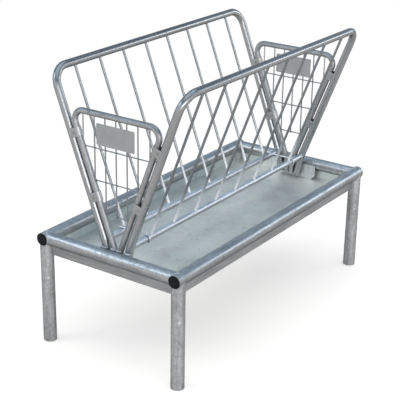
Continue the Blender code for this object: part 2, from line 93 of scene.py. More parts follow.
# Edges, cut ends and play between pieces
TUBE_CHAMFER = 0.0004
RAIL_CHAMFER = 0.0008
ROD_EASE = 0.35
TIE_ROD_EASE = 0.5
LEG_CHAMFER_SHARE = 0.2
LEG_CHAMFER_RISE = 0.0006
FRAME_SINK = 0.00075
HOOK_PLAY = 0.0003
STRAP_PLAY = 0.0003
STRAP_EASE = 0.0007
STRAP_ARM_DROP = 0.0045
FOOT_PLATE_CORNER = 0.028
FOOT_PLATE_TOP_CORNER = 0.0012
FOOT_PLATE_SPARE = 0.0002
FOOT_PLATE_EDGE = 0.0008
NAME_PLATE_CORNER = 0.006
NAME_PLATE_EDGE = 0.0006

# Welds: how thick each bead is, how far apart its ripples are, and how its thickness varies
FRAME_BEAD = 0.0026
RACK_BEAD = 0.0021
BAR_BEAD = 0.0016
WIRE_BEAD = 0.0010
ROOT_BEAD = 0.0055
ROOT_RISE = 0.019
BEAD_PITCH = 0.0030
BEAD_LEAST = 0.82
BEAD_SWELL = 0.26
BEAD_WANDER = 0.10
BEAD_WANDER_RATE = 0.61
BEAD_TIP = 0.15

# How finely round shapes are divided
FRAME_SIDES = 64
TUBE_SIDES = 48
ROD_SIDES = 24
WIRE_SIDES = 14
BEAD_SIDES = 10
BEND_STEP = math.radians(4)
LEAST_BEND = 0.001
SHARP_ANGLE = math.radians(38)
POINTS_A_RIPPLE = 6
LEAST_SEAM_POINTS = 40
PLATE_CORNER_POINTS = 8
HOOK_POINTS = 30
STRAP_POINTS = 25
ROOT_POINTS = 46
FOOT_BEAD_POINTS = 60

# Places read from the frame
RAIL_LOW, RAIL_HIGH = (np.array(corner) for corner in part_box("front_rail"))
RAIL_END = RAIL_HIGH[0]
RAIL_AXIS = RAIL_HIGH[2] - FRAME_R
LEG_Y = -(RAIL_LOW[1] + RAIL_HIGH[1]) / 2
LEG_X = RAIL_END - FRAME_R
RACK_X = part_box("rack_frame_front")[1].x - RACK_R
RACK_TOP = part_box("rack_frame_front")[1].z - RACK_R
RACK_TOP_RISE = RACK_TOP - RAIL_AXIS
BAR_REACH = sum(corner.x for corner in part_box(f"rack_bar_front_{BARS}")) / 2
LOWER_RAIL_AXIS = RAIL_AXIS + LOWER_RAIL_RISE
LEAN = math.atan2(RACK_TOP_Y - LOWER_RAIL_Y, RACK_TOP_RISE - LOWER_RAIL_RISE)
PANEL_TOP_RISE = RACK_TOP_RISE - PANEL_TOP_DROP

SIDES = {"front": -1, "back": 1}
ENDS = {"left": -1, "right": 1}
CORNERS = [(f"{side}_{end}", x, y) for side, y in SIDES.items() for end, x in ENDS.items()]
X_AXIS = np.array([1.0, 0.0, 0.0])
Y_AXIS = np.array([0.0, 1.0, 0.0])
Z_AXIS = np.array([0.0, 0.0, 1.0])

BLACK = (0.0, 0.0, 0.0, 1.0)
WHITE = (1.0, 1.0, 1.0, 1.0)

# What metal reflects at a glance along it, so that dull zinc doesn't flare at its edges
EDGE_TINT = (0.50, 0.51, 0.53, 1.0)
DARK_EDGE_TINT = (0.12, 0.12, 0.12, 1.0)

# The most by which a crystal's border is shifted along each axis
CRYSTAL_SHIFT = 0.012


class Output:
    """A node's output; arithmetic on it adds Math nodes."""

    def __init__(self, tree, socket):
        self.tree = tree
        self.socket = socket

    def math(self, operation, first, second):
        return self.tree.node("ShaderNodeMath", {"operation": operation}, {0: first, 1: second})

    def __add__(self, other):
        return self.math("ADD", self, other)

    def __sub__(self, other):
        return self.math("SUBTRACT", self, other)

    def __rsub__(self, other):
        return self.math("SUBTRACT", other, self)

    def __mul__(self, other):
        return self.math("MULTIPLY", self, other)

    def above(self, other):
        """The greater of two values."""
        return self.math("MAXIMUM", self, other)

    __radd__ = __add__
    __rmul__ = __mul__


class Nodes:
    """A node tree, and the one way nodes are added to it."""

    def __init__(self, tree):
        self.tree = tree

    def node(self, kind, settings=None, inputs=None, output=0):
        """Any node: its settings first, then values or links for its sockets. Gives one output."""
        node = self.tree.nodes.new(kind)
        for key, value in (settings or {}).items():
            setattr(node, key, value)
        for key, value in (inputs or {}).items():
            self.give(node.inputs[key], value)
        return Output(self, node.outputs[output])

    def give(self, socket, value):
        """A link where the value is a node's output, else the value itself."""
        if isinstance(value, Output):
            self.tree.links.new(value.socket, socket)
        else:
            socket.default_value = value

    def step(self, value, low, high):
        """0 below low, 1 above high, smooth between."""
        sockets = {"Value": value, "From Min": low, "From Max": high}
        return self.node("ShaderNodeMapRange", {"interpolation_type": "SMOOTHSTEP"}, sockets)

    def mix(self, factor, first, second, how="MIX"):
        """A colour between two colours, or by another way of blending them."""
        settings = {"data_type": "RGBA", "blend_type": how}
        return self.node("ShaderNodeMix", settings, {0: factor, 6: first, 7: second}, output=2)

    def dimmed(self, colour, share):
        """A colour times another."""
        return self.mix(1.0, colour, share, "MULTIPLY")

    def vector(self, operation, inputs, output=0):
        """Arithmetic on vectors."""
        return self.node("ShaderNodeVectorMath", {"operation": operation}, inputs, output)

    def axis(self, vector, name):
        """One component of a vector."""
        return self.node("ShaderNodeSeparateXYZ", None, {0: vector}, name)


class Finish(Nodes):
    """A material with a Principled shader, and the nodes before it."""

    def __init__(self, name, metallic=0.0, edge=EDGE_TINT):
        self.material = bpy.data.materials.new(name)
        self.material.use_nodes = True
        super().__init__(self.material.node_tree)
        self.shader = self.tree.nodes["Principled BSDF"]
        self.set("Metallic", metallic)
        self.set("Specular Tint", edge)
        self.place = self.node("ShaderNodeTexCoord", output="Object")

    def set(self, name, value):
        """A value or a node's output for one of the shader's own sockets."""
        self.give(self.shader.inputs[name], value)

    def stretched(self, scale):
        """Object coordinates scaled along each axis."""
        return self.node("ShaderNodeMapping", None, {"Vector": self.place, "Scale": scale})

    def noise(self, scale, detail=4.0, place=None, distortion=0.0, output=0):
        """Fractal noise of a scale per metre, as a value or as a colour."""
        sockets = {"Vector": place or self.place, "Scale": scale, "Detail": detail,
                   "Distortion": distortion}
        return self.node("ShaderNodeTexNoise", None, sockets, output)

    def facing_up(self):
        """How far the surface faces up: -1 below, 0 on a wall, 1 on top."""
        return self.axis(self.node("ShaderNodeNewGeometry", output="Normal"), "Z")

    def bump(self, height, strength, distance):
        """Relief from a height."""
        sockets = {"Height": height, "Strength": strength, "Distance": distance}
        self.set("Normal", self.node("ShaderNodeBump", None, sockets))

    def crystals(self, scale):
        """A random value for each zinc crystal, whose borders a noise shifts."""
        noise = self.noise(scale, 2.0, output="Color")
        shift = self.vector("SCALE", {0: noise, "Scale": CRYSTAL_SHIFT})
        sockets = {"Vector": self.vector("ADD", {0: self.place, 1: shift}), "Scale": scale}
        cells = self.node("ShaderNodeTexVoronoi", {"feature": "F1"}, sockets, "Color")
        value = self.node("ShaderNodeSeparateColor", None, {"Color": cells}, "Red")
        return value * 0.8 + self.noise(scale * 0.7, 2.0) * 0.2


# The way the grain of the zinc runs: noise is drawn out along one axis
ALONG_X = (6.0, 90.0, 90.0)
ALONG_Y = (90.0, 6.0, 90.0)
ALONG_Z = (90.0, 90.0, 6.0)

# Zinc: how dark its darkest clouds are, its stains, the painted sheen of low ends, and the
# painted shade tints that the underside and the top are multiplied by
ZINC_METALLIC = 0.92
CLOUD_SHADE = 0.62
STAIN = (0.17, 0.16, 0.15, 1.0)
SHEEN_ZINC = (0.95, 0.96, 0.98, 1.0)
SHEEN_METALLIC = 0.07
UNDERSIDE_SHADE_TINT = (1.03, 1.0, 0.96)
TOP_SHADE_TINT = (0.81, 0.94, 1.06)

# Heights between which the bars' lower ends turn from a painted bright sheen to dull
SHEEN_LOW = 0.60
SHEEN_HIGH = 0.80

# The zinc finishes: each one's palest colour and roughness, and where it differs from plain zinc
ZINC_LOOKS = {
    "rack_zinc": dict(pale=(0.58, 0.585, 0.59), roughness=0.26, wear=0.08, relief=0.0,
                      under=0.9, mottle=0.15, top=0.58),
    "rod_zinc": dict(pale=(0.43, 0.45, 0.47), roughness=0.30, wear=0.1, relief=0.01, under=0.7,
                     mottle=0.15, low_sheen=0.95),
    "wire_zinc": dict(pale=(0.42, 0.435, 0.45), roughness=0.36, crystal=160.0, wear=0.2,
                      under=0.5),
    "weld_zinc": dict(pale=(0.72, 0.73, 0.74), roughness=0.33, crystal=220.0, wear=0.1,
                      relief=0.5),
    "panel_zinc": dict(pale=(0.60, 0.605, 0.61), roughness=0.46, wear=0.2, relief=0.08,
                       under=0.7, mottle=0.5, top=0.55),
    "strap_zinc": dict(pale=(0.60, 0.60, 0.60), roughness=0.40, crystal=130.0, under=0.8),
    "leg_zinc": dict(pale=(0.70, 0.70, 0.70), roughness=0.50, lumps=0.8, mottle=0.9,
                     edge=DARK_EDGE_TINT),
    "cross_zinc": dict(pale=(0.54, 0.55, 0.56), roughness=0.35, grain=ALONG_Y, relief=0.5,
                       under=0.85, lumps=1.5, mottle=0.9),
    "rail_zinc": dict(pale=(0.54, 0.55, 0.56), roughness=0.35, grain=ALONG_X, relief=0.5,
                      under=0.85, lumps=1.5, mottle=0.8),
    "lower_zinc": dict(pale=(0.82, 0.83, 0.85), roughness=0.38, grain=ALONG_X, wear=0.15,
                       relief=0.05, under=0.8),
    "hook_zinc": dict(pale=(0.86, 0.87, 0.89), roughness=0.34, crystal=160.0, wear=0.1,
                      under=0.85),
    "spot_zinc": dict(pale=(0.93, 0.93, 0.93), roughness=0.34, wear=0.05, relief=0.3, under=1.0),
    "plate_steel": dict(pale=(0.95, 0.96, 0.97), roughness=0.42, wear=0.35, under=0.8, mottle=0.7),
}


def scaled(colour, share):
    """A colour with each channel times a share, opaque."""
    return tuple(share * channel for channel in colour[:3]) + (1.0,)


def galvanised(name, pale, roughness, grain=ALONG_Z, crystal=95.0, wear=0.3, relief=0.2,
               under=0.6, top=1.0, low_sheen=0.0, lumps=0.0, mottle=0.3, edge=EDGE_TINT):
    """Hot-dip zinc. Its tone is a sum of crystals, clouds and grains, plus mottle times streaks
    along the piece and patches. Wear is how far stains show, relief and lumps how rough the coat
    is, under and top the painted shade that the underside and the top are multiplied by, and the
    sheen share how bright a painted highlight makes the low part."""
    finish = Finish(name, ZINC_METALLIC, edge)
    crystals = finish.crystals(crystal)
    clouds = finish.noise(9.0, 5.0)
    runs = finish.noise(1.0, 4.0, finish.stretched(grain))
    grains = finish.noise(420.0, 3.0)
    waves = finish.noise(55.0, 3.0, distortion=0.5)
    stains = finish.step(finish.noise(26.0, 6.0, distortion=0.4), 0.56, 0.74)
    streaks = finish.step(runs, 0.36, 0.64)
    patches = finish.step(finish.noise(70.0, 4.0, distortion=0.6), 0.38, 0.62)
    plain = crystals * 0.16 + clouds * 0.7 + grains * 0.3 - 0.08
    tone = plain + (streaks * 0.55 + patches * 0.45 - 0.5) * mottle
    zinc = finish.mix(tone, scaled(pale, CLOUD_SHADE), scaled(pale, 1.0))
    stained = finish.mix(stains * wear, zinc, STAIN)
    up = finish.facing_up()
    # Painted shade: surfaces facing down are multiplied by the underside tint, darker than any lamp
    # makes them.
    lit_side = finish.step(up + clouds * 0.2, -0.75, 0.20)
    painted_light_zinc = finish.mix(lit_side, finish.dimmed(stained, scaled(UNDERSIDE_SHADE_TINT, under)), stained)
    # Painted sheen: below those heights the zinc turns pale and less metallic, standing in for a
    # highlight.
    if low_sheen:
        low = 1 - finish.step(finish.axis(finish.place, "Z") + clouds * 0.06, SHEEN_LOW, SHEEN_HIGH)
        painted_light_zinc = finish.mix(low * low_sheen, painted_light_zinc, SHEEN_ZINC)
        finish.set("Metallic", ZINC_METALLIC - low * (ZINC_METALLIC - SHEEN_METALLIC))
    # Painted shade: surfaces facing up are multiplied by the bluish top tint, standing in for a
    # dark sky reflection.
    reach = (1 - top) * 0.45
    on_top = finish.step(up, 0.2 - reach, 0.8 - reach)
    top_shaded = finish.dimmed(painted_light_zinc, scaled(TOP_SHADE_TINT, top))
    finish.set("Base Color", finish.mix(on_top, painted_light_zinc, top_shaded))
    finish.set("Roughness", clouds * 0.20 + crystals * 0.06 + stains * 0.15 + (roughness - 0.13))
    finish.bump(runs * 0.6 + grains * 0.25 + crystals * 0.15 + waves * lumps, relief, 0.0005)
    return finish.material


# The tray: its inside from dark to pale, its bloom, its ends painted pale as light, its spots,
# and its outside. Then how far its floor's middle lies below the rails' axes, and how sharply
# inside turns to outside
PAN_DARK = (0.44, 0.50, 0.52, 1.0)
PAN_PALE = (0.78, 0.84, 0.84, 1.0)
PAN_BLOOM = (0.66, 0.77, 0.72, 1.0)
PAN_LIT_END = (0.96, 1.0, 0.97, 1.0)
PAN_SPOT = (0.20, 0.21, 0.18, 1.0)
SKIRT_DARK = (0.24, 0.24, 0.24, 1.0)
SKIRT_PALE = (0.62, 0.62, 0.62, 1.0)
PAN_MIDDLE = 0.0755
PAN_SPLIT = 0.0002


def tray_zinc():
    """Weathered zinc sheet: pale green-blue bloom inside the pan, painted light that turns it paler
    towards its ends, and plain grey outside, with cloudy patches and fine scratches. Outside is
    where a point lies past the middle of the sheet, sideways, lengthways or down."""
    finish = Finish("tray_zinc", metallic=0.5)
    across = finish.vector("ABSOLUTE", {0: finish.place})
    past_end = finish.axis(across, "X") - LEG_X
    past_side = finish.axis(across, "Y") - LEG_Y
    below = (RAIL_AXIS - PAN_MIDDLE) - finish.axis(finish.place, "Z")
    outer = finish.step(past_end.above(past_side).above(below), -PAN_SPLIT, PAN_SPLIT)
    clouds = finish.noise(6.0, 6.0, distortion=0.6)
    bloom = finish.noise(19.0, 6.0, distortion=0.8)
    runs = finish.noise(1.0, 4.0, finish.stretched((8.0, 8.0, 130.0)))
    scratches = finish.noise(1.0, 3.0, finish.stretched((14.0, 260.0, 40.0)))
    spots = finish.step(finish.noise(52.0, 4.0), 0.60, 0.76)
    # Painted light: the pan's two ends turn pale, as if lit.
    ends = finish.step(finish.axis(across, "X") + clouds * 0.1, 0.55, 0.76)
    sheet = finish.mix(clouds * 1.3 - 0.2, PAN_DARK, PAN_PALE)
    bloomed = finish.mix(finish.step(bloom, 0.44, 0.66) * 0.6, sheet, PAN_BLOOM)
    lit_at_ends = finish.mix(ends * 0.8, bloomed, PAN_LIT_END)
    inner = finish.mix(spots * 0.4, lit_at_ends, PAN_SPOT)
    skirt = finish.mix(clouds * 0.6 + runs * 0.9 - 0.3, SKIRT_DARK, SKIRT_PALE)
    finish.set("Base Color", finish.mix(outer, inner, skirt))
    finish.set("Roughness", clouds * 0.3 + bloom * 0.2 + 0.15)
    finish.bump(clouds * 1.2 + scratches * 0.15 + runs * 0.2, 0.35, 0.0012)
    return finish.material


# The darkest and the palest colours of name plates, bolts and plugs
PLATE_DARK = (0.30, 0.30, 0.305, 1.0)
PLATE_PALE = (0.62, 0.62, 0.625, 1.0)
BOLT_DARK = (0.34, 0.34, 0.34, 1.0)
BOLT_PALE = (0.60, 0.60, 0.59, 1.0)
PLUG_BLACK = (0.005, 0.005, 0.006, 1.0)
PLUG_DUST = (0.026, 0.025, 0.024, 1.0)


def plate_zinc():
    """Dull bare sheet of the name plates: even grey with a fine tooth."""
    finish = Finish("plate_zinc", metallic=0.35)
    clouds = finish.noise(22.0, 5.0)
    tooth = finish.noise(520.0, 2.0)
    brushed = finish.noise(1.0, 3.0, finish.stretched((60.0, 18.0, 480.0)))
    tone = clouds * 0.5 + brushed * 0.3 + tooth * 0.2
    finish.set("Base Color", finish.mix(tone, PLATE_DARK, PLATE_PALE))
    finish.set("Roughness", clouds * 0.15 + brushed * 0.12 + 0.48)
    finish.bump(tooth * 0.6 + brushed * 0.4, 0.25, 0.0004)
    return finish.material


def bolt_zinc():
    """Bolts gone dark, paler where the flats are rubbed."""
    finish = Finish("bolt_zinc", metallic=0.9)
    grime = finish.noise(160.0, 5.0)
    specks = finish.noise(700.0, 2.0)
    finish.set("Base Color", finish.mix(grime, BOLT_DARK, BOLT_PALE))
    finish.set("Roughness", grime * 0.3 + specks * 0.1 + 0.25)
    finish.bump(specks + grime * 0.5, 0.3, 0.0003)
    return finish.material


def plug_plastic():
    """Matte black moulded plastic with a fine spark texture and a little dust."""
    finish = Finish("plug_plastic")
    finish.set("Specular IOR Level", 0.35)
    spark = finish.noise(900.0, 2.0)
    dust = finish.step(finish.noise(90.0, 5.0), 0.45, 0.8)
    finish.set("Base Color", finish.mix(dust * 0.6, PLUG_BLACK, PLUG_DUST))
    finish.set("Roughness", dust * 0.2 + spark * 0.15 + 0.42)
    finish.bump(spark, 0.3, 0.0003)
    return finish.material


def unit(vectors):
    """Vectors over their lengths."""
    return vectors / np.linalg.norm(vectors, axis=-1, keepdims=True)


def turned(angles, first, second):
    """Points of a unit circle: cos times one vector plus sin times another."""
    return np.cos(angles)[..., None] * first + np.sin(angles)[..., None] * second


def around(sides):
    """Angles of a full turn, without the repeated last one."""
    return np.arange(sides) * 2 * math.pi / sides


def ripples(radius):
    """How many points a round seam needs for its ripples."""
    return int(2 * math.pi * radius / BEAD_PITCH * POINTS_A_RIPPLE)


def straight(start, end):
    """A path of two points."""
    return np.array([start, end], float)


def corners_of(node):
    """A node's lowest and highest corners."""
    low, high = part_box(node)
    return np.array(low, float), np.array(high, float)


def tangents(path, closed=False):
    """The direction of a path at each point, from its neighbours on either side. At the ends of an
    open path it is the direction of the first and of the last step."""
    if closed:
        return unit(np.roll(path, -1, axis=0) - np.roll(path, 1, axis=0))
    return unit(np.gradient(path, axis=0))


def rings(path, radii, reference, sides, closed=False, ways=None):
    """Circles carried along a path. At each point the circle's plane is square to the path, and its
    first radius is the reference direction less its share along the path."""
    ways = tangents(path, closed) if ways is None else ways
    across = unit(reference - np.sum(reference * ways, axis=-1, keepdims=True) * ways)
    beside = np.cross(ways, across)
    circle = turned(around(sides)[None, :], across[:, None, :], beside[:, None, :])
    return path[:, None, :] + np.asarray(radii, float).reshape(-1, 1, 1) * circle


def eased_rings(path, radius, ease, reference, sides):
    """Circles along an open path, with one more at each end, an ease further in. The end ones are
    smaller by the ease."""
    ways = tangents(path)
    line = np.concatenate([path[:1], path[:1] + ways[:1] * ease, path[1:-1],
                           path[-1:] - ways[-1:] * ease, path[-1:]])
    radii = np.full(len(line), radius)
    radii[[0, -1]] = radius - ease
    along = np.concatenate([ways[:1], ways, ways[-1:]])
    return rings(line, radii, reference, sides, ways=along)


def shell(grid, wrap_rows=False):
    """A closed shell from a grid of points: quads between the rows, each row wrapped round, and
    either the last row joined to the first or a flat cap on each end. Gives points, quads and
    caps."""
    rows, columns = grid.shape[:2]
    strips = rows if wrap_rows else rows - 1
    row, column = np.meshgrid(np.arange(strips), np.arange(columns), indexing="ij")
    next_row, next_column = (row + 1) % rows, (column + 1) % columns
    corners = [row * columns + column, row * columns + next_column,
               next_row * columns + next_column, next_row * columns + column]
    quads = np.stack(corners, axis=-1).reshape(-1, 4)
    ring = np.arange(columns)
    caps = np.stack([ring[::-1], ring + (rows - 1) * columns])
    return grid.reshape(-1, 3), quads, caps[:0] if wrap_rows else caps


def placed(name, data):
    """A new object in the scene."""
    obj = bpy.data.objects.new(name, data)
    bpy.context.scene.collection.objects.link(obj)
    return obj


def piece(name, shells, finish, replaced=()):
    """A finished piece made of closed shells, riding on the trough's one body."""
    points = np.concatenate([own for own, _, _ in shells])
    starts = np.cumsum([0] + [len(own) for own, _, _ in shells])
    faces = []
    for (_, quads, caps), start in zip(shells, starts):
        faces += (quads + start).tolist() + (caps + start).tolist()
    mesh = bpy.data.meshes.new(name)
    mesh.from_pydata(points.tolist(), [], faces)
    mesh.materials.append(finish)
    mesh.shade_smooth()
    mesh.set_sharp_from_angle(angle=SHARP_ANGLE)
    obj = placed(name, mesh)
    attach(obj, "root")
    if replaced:
        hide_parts(*replaced)


def zinc_piece(name, shells, finish, *replaced):
    """A piece of galvanised steel."""
    piece(name, shells, finish, replaced)


def bend(before, corner, after, radius):
    """Points of the arc that rounds a corner: centre plus radius times cos and sin of the turn."""
    inward, outward = unit(before - corner), unit(after - corner)
    turn = math.pi - math.acos(float(inward @ outward))
    if turn < LEAST_BEND:
        return corner[None, :]
    centre = corner + unit(inward + outward) * radius / math.cos(turn / 2)
    first = unit(corner + inward * radius * math.tan(turn / 2) - centre)
    angles = np.linspace(0, turn, max(3, math.ceil(turn / BEND_STEP)))
    return centre + radius * turned(angles, first, -inward)


def bent_path(corners, radii):
    """A path through corners, each inner one rounded by its own radius."""
    corners = np.array(corners, float)
    arcs = [bend(*corners[i:i + 3], radius) for i, radius in enumerate(radii)]
    return np.concatenate([corners[:1], *arcs, corners[-1:]])


def pipe(path, radius, wall, reference, sides=TUBE_SIDES, chamfer=TUBE_CHAMFER):
    """A tube with a wall: rings of the outer radius out along the path and of the inner one back,
    with a small chamfer at each end, joined into one closed skin."""
    outside = eased_rings(path, radius, chamfer, reference, sides)
    inside = rings(path, radius - wall, reference, sides)
    return shell(np.concatenate([outside, inside[::-1]]), wrap_rows=True)


def rod(path, radius, reference, sides=ROD_SIDES, rounding=ROD_EASE):
    """A solid rod with its ends eased: the radius shrinks over a short way at each end."""
    return shell(eased_rings(path, radius, radius * rounding, reference, sides))


def bead(path, outward, radius, closed=True, phase=0.0):
    """A weld bead: a small circle carried along the seam, whose radius swells at each ripple as the
    size of a sine and wanders slowly as a second sine. An open bead thins out at both ends."""
    steps = np.linalg.norm(np.diff(path, axis=0), axis=1)
    way = np.concatenate([[0], np.cumsum(steps)])
    swell = BEAD_LEAST + BEAD_SWELL * np.abs(np.sin(math.pi * way / BEAD_PITCH + phase))
    wander = BEAD_WANDER * np.sin(way / BEAD_PITCH * BEAD_WANDER_RATE + 2 * phase)
    radii = radius * (swell + wander)
    if not closed:
        ends = np.minimum(way, way[-1] - way) / (2 * radius)
        radii = radii * np.clip(ends, BEAD_TIP, 1)
    return shell(rings(path, radii, outward, BEAD_SIDES, closed=closed), wrap_rows=closed)


def seam_round(centre, branch, main, branch_r, main_r, radius, phase=0.0):
    """The seam where a round branch stands square on a round tube. At each angle about the
    branch, the seam lies its radius out, and along it by the root of the tube's radius squared
    less the square of the sideways distance."""
    angles = around(max(LEAST_SEAM_POINTS, ripples(branch_r)))
    spokes = turned(angles, main, np.cross(branch, main))
    height = np.sqrt(np.maximum(main_r ** 2 - (branch_r * np.sin(angles)) ** 2, 0))
    path = centre + branch_r * spokes + height[:, None] * branch
    return bead(path, spokes, radius, phase=phase)


def corner_arcs(half_width, half_height, radii, count):
    """The rounded corners of a rectangle, anticlockwise from the upper right one: each is a
    quarter turn, its centre plus its radius times cos and sin."""
    quarter = np.linspace(0, math.pi / 2, count)
    arcs = []
    for i, (radius, (x, y)) in enumerate(zip(radii, ((1, 1), (-1, 1), (-1, -1), (1, -1)))):
        centre = np.array([x * (half_width - radius), y * (half_height - radius)])
        arcs.append(centre + radius * turned(i * math.pi / 2 + quarter, *np.eye(2)))
    return arcs


def flat_plate(node, low_corner, high_corner, edge, spare=0.0):
    """A plate as large as a node, square to X, its lower and upper corners rounded and its rim
    eased: four rings, the two outer ones drawn in by the edge, and a flat cap on each face."""
    low, high = corners_of(node)
    thickness, width, height = high - low
    radii = (high_corner, high_corner, low_corner, low_corner)
    arcs = corner_arcs(width / 2, (height + spare) / 2, radii, PLATE_CORNER_POINTS)
    outline = np.concatenate(arcs)
    way = tangents(outline, closed=True)
    drawn = outline - np.stack([way[:, 1], -way[:, 0]], axis=-1) * edge
    half = thickness / 2
    levels = [(drawn, -half), (outline, edge - half), (outline, half - edge), (drawn, half)]
    grid = [(low + high) / 2 + flat[:, :1] * Y_AXIS + flat[:, 1:] * Z_AXIS + level * X_AXIS
            for flat, level in levels]
    return shell(np.stack(grid))


def build_rails(finish):
    """Open tubes of the trough's long sides, laid along X."""
    for side, y in SIDES.items():
        path = straight((-RAIL_END, y * LEG_Y, RAIL_AXIS), (RAIL_END, y * LEG_Y, RAIL_AXIS))
        tube = pipe(path, FRAME_R, FRAME_WALL, Z_AXIS, FRAME_SIDES, RAIL_CHAMFER)
        zinc_piece(f"{side}_rail_tube", [tube], finish, f"{side}_rail")


def build_cross_tubes(finish):
    """Tubes along Y whose ends fit the rails: at each angle a generator stops short of the rail's
    axis by the radius times the size of the angle's cosine, where equal cylinders meet."""
    angles = around(FRAME_SIDES)
    reach = LEG_Y - np.abs(FRAME_R * np.cos(angles)) + FRAME_SINK
    for end, x in ENDS.items():
        walls = []
        for radius in (FRAME_R, FRAME_R - FRAME_WALL):
            ring = np.stack([x * LEG_X + radius * np.cos(angles), 0 * angles,
                             RAIL_AXIS + radius * np.sin(angles)], axis=-1)
            walls.append(np.stack([ring + s * reach[:, None] * Y_AXIS for s in (1, -1)]))
        tube = shell(np.concatenate([walls[0], walls[1][::-1]]), wrap_rows=True)
        zinc_piece(f"{end}_cross_tube_body", [tube], finish, f"{end}_cross_tube")


def leg_top(angles, inward):
    """Height at which a leg's generator meets the tubes above. Under the rail that is its axis
    less the radius times the size of the cosine, and on the inner side the cross tube takes the
    size of the sine."""
    rail = np.abs(np.cos(angles))
    cross = np.where(np.sin(angles) * inward > 0, np.abs(np.sin(angles)), 0)
    return RAIL_AXIS - FRAME_R * np.maximum(rail, cross)


def build_legs(finish):
    """Legs along Z whose tops fit the rail and the cross tube above them: down the inner skin,
    over the chamfered foot and up the outer skin."""
    angles = around(FRAME_SIDES)
    for corner, x, y in CORNERS:
        top = leg_top(angles, -y) + FRAME_SINK
        skins = []
        for radius in (FRAME_R - FRAME_WALL, FRAME_R):
            ring = np.array([x * LEG_X, y * LEG_Y, 0]) + radius * turned(angles, X_AXIS, Y_AXIS)
            skins += [ring, ring + top[:, None] * Z_AXIS]
        inner_foot, inner_top, outer_foot, outer_top = skins
        chamfer = outer_foot + (inner_foot - outer_foot) * LEG_CHAMFER_SHARE
        lifted = outer_foot + Z_AXIS * LEG_CHAMFER_RISE
        grid = np.stack([inner_top, inner_foot, chamfer, lifted, outer_top])
        zinc_piece(f"leg_tube_{corner}", [shell(grid, wrap_rows=True)], finish, f"leg_{corner}")


# How far the frame's beads stay inside the rails' outer sides, in bead radii, and how far those of
# the cross tubes sink in
BEAD_MARGIN = 1.25
CROSS_BEAD_SINK = 0.0006


def build_frame_beads(finish):
    """Beads round the tops of the legs and round the ends of the cross tubes, along the curves on
    which those tubes meet the ones they stand on."""
    angles = around(ripples(FRAME_R))
    level, upright = turned(angles, X_AXIS, Y_AXIS), turned(angles, X_AXIS, Z_AXIS)
    limit = -RAIL_LOW[1] - FRAME_BEAD * BEAD_MARGIN
    beads = []
    for _, x, y in CORNERS:
        path = np.array([x * LEG_X, y * LEG_Y, 0]) + FRAME_R * level
        path = path + leg_top(angles, -y)[:, None] * Z_AXIS
        path[:, 1] = np.clip(path[:, 1], -limit, limit)
        beads.append(bead(path, level, FRAME_BEAD, phase=x + 2 * y))
        reach = y * (LEG_Y - FRAME_R * np.abs(np.cos(angles)))
        path = np.array([x * LEG_X, 0, RAIL_AXIS]) + (FRAME_R - CROSS_BEAD_SINK) * upright
        beads.append(bead(path + reach[:, None] * Y_AXIS, upright, FRAME_BEAD, phase=3 * x + y))
    zinc_piece("frame_weld_beads", beads, finish)


# Vent plugs: how far below the rails' axes, and the half width, half height, rise and dimple of a
# plug and of the drip above it on the right legs
VENT_DROP = 0.185
VENT_SINK = 0.0004
VENT_PLUG = (0.0075, 0.0085, 0.0028, 0.0022)
VENT_DRIP = (0.0050, 0.0055, 0.0022, 0.0006)
VENT_DRIP_RISE = 0.021
VENT_RIM_DROP = 0.0009
VENT_FACING = np.array([-1.0, -1.0, 0.0])
VENT_RINGS = 9
VENT_SIDES = 28

# The innermost rings of vent plugs and end plugs, and the width of a dimple, as shares
VENT_POLE = 0.06
VENT_DIMPLE = 0.35
PLUG_POLE = 0.05


def zinc_spot(centre, outward, width, height, rise, dimple):
    """A plugged vent hole on a leg: a low dome, rise times one less the distance squared, less a
    bell curve for the dimple, with a rim that drops and wanders with two sines."""
    distances = np.linspace(VENT_POLE, 1, VENT_RINGS)[:, None]
    angles = around(VENT_SIDES)[None, :]
    rim = 1 + 0.08 * np.sin(2 * angles + 0.7) + 0.05 * np.sin(5 * angles)
    lift = rise * (1 - distances ** 2) - dimple * np.exp(-(distances / VENT_DIMPLE) ** 2)
    lift = lift - VENT_RIM_DROP * distances ** 4
    flat = distances * rim
    grid = centre + outward * (lift + 0 * angles)[..., None]
    grid = grid + (flat * np.cos(angles) * width)[..., None] * np.cross(Z_AXIS, outward)
    grid = grid + (flat * np.sin(angles) * height)[..., None] * Z_AXIS
    return shell(grid[::-1])


def build_leg_spots(finish):
    """The vent plugs on the legs, a little below the tray, on the side that faces left and
    forward."""
    outward = unit(VENT_FACING)
    spots = []
    for _, x, y in CORNERS:
        middle = np.array([x * LEG_X, y * LEG_Y, RAIL_AXIS - VENT_DROP])
        middle = middle + outward * (FRAME_R - VENT_SINK)
        spots.append(zinc_spot(middle, outward, *VENT_PLUG))
        if x > 0:
            spots.append(zinc_spot(middle + Z_AXIS * VENT_DRIP_RISE, outward, *VENT_DRIP))
    zinc_piece("leg_vent_plugs", spots, finish)


# Plugs: the cap's rim and the spigot in the tube, then the notch in the rim
PLUG_LIP = 0.0015
PLUG_PLAY = 0.0003
PLUG_RIM = FRAME_R - PLUG_LIP
SPIGOT_R = FRAME_R - FRAME_WALL - PLUG_PLAY
SPIGOT_WALL = 0.0025
SPIGOT_DEPTH = 0.022
PLUG_SKIN = 0.003
PLUG_COLLAR = 0.0001
PLUG_EDGE_SHARE = 0.33
PLUG_SIDES = 56
PLUG_RINGS = 9
NOTCH_AT = math.radians(52)
NOTCH_WIDTH = 0.09
NOTCH_DEPTH = 0.0022
NOTCH_START = 0.93


